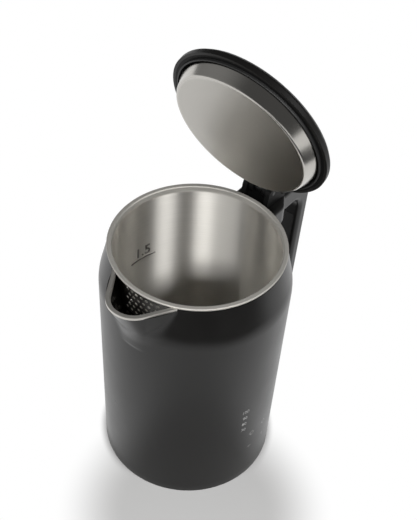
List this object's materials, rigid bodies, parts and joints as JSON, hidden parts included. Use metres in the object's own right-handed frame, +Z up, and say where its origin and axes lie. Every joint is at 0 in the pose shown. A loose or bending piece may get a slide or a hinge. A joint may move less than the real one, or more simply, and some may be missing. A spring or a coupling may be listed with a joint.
{
  "type": "electric kettle",
  "caption": "Black double-wall electric kettle with steel inside, perforated spout, strap handle and a sprung hinged lid shown open.",
  "frame": {"origin": "on the table plane under the vessel's axis, at the mouth of the base socket", "axes": "+Z up along the vessel's axis, the spout towards -X, the handle towards +X"},
  "size_m": [0.2188, 0.1424, 0.3503],
  "materials": {
    "shell_plastic": "fine matt texture",
    "brushed_steel": "brushed",
    "plain_steel": "plain",
    "silicone": "matt silicone",
    "aluminium": "rolled",
    "brass": "plain",
    "socket_plastic": "moulded",
    "board": "laminate",
    "light_lens": "clear"
  },
  "bodies": {
    "kettle_body": {"outer_shell": "shell_plastic", "inner_vessel": "brushed_steel", "pouring_spout": "brushed_steel", "rim_gasket": "silicone", "heat_spreader": "aluminium", "heating_element": "plain_steel", "temperature_sensor": "brass", "control_block": "socket_plastic", "inner_contact_ring": "brass", "outer_contact_ring": "brass", "bottom_cover": "shell_plastic", "bottom_screws": "plain_steel", "control_board": "board", "indicator_lights": "light_lens", "handle_head": "shell_plastic", "handle_grip": "shell_plastic", "grip_cover": "shell_plastic", "handle_cap": "shell_plastic", "handle_screws": "plain_steel", "hinge_bracket": "shell_plastic", "bracket_screws": "plain_steel", "hinge_pin": "plain_steel", "lid_spring": "plain_steel", "latch_spring": "plain_steel"},
    "lid": {"lid_frame": "shell_plastic", "lid_cover": "shell_plastic", "lid_seal": "silicone", "lid_pan": "brushed_steel", "lid_screws": "plain_steel"},
    "release_button": {"release_button": "shell_plastic"},
    "latch": {"latch_slider": "shell_plastic"}
  },
  "joints": [
    {"name": "lid_hinge", "type": "hinge", "parent": "kettle_body", "child": "lid", "pos_m": [0.0762, 0, 0.2158], "axis": [0, 1, 0], "range_deg": [-71.5, 0], "stiffness_Nm_per_rad": 0.11, "springref_deg": 31.51, "deforming": ["lid_spring"]},
    {"name": "release_press", "type": "slide", "parent": "kettle_body", "child": "release_button", "axis": [0, 0, -1], "range_m": [0, 0.0028], "stiffness_N_per_m": 600, "springref_m": -0.001},
    {"name": "latch_slide", "type": "slide", "parent": "kettle_body", "child": "latch", "axis": [1, 0, 0], "range_m": [0, 0.0028], "deforming": ["latch_spring"]}
  ],
  "couplings": [
    {"joint": "latch_slide", "follows": "release_press", "ratio": 1}
  ]
}
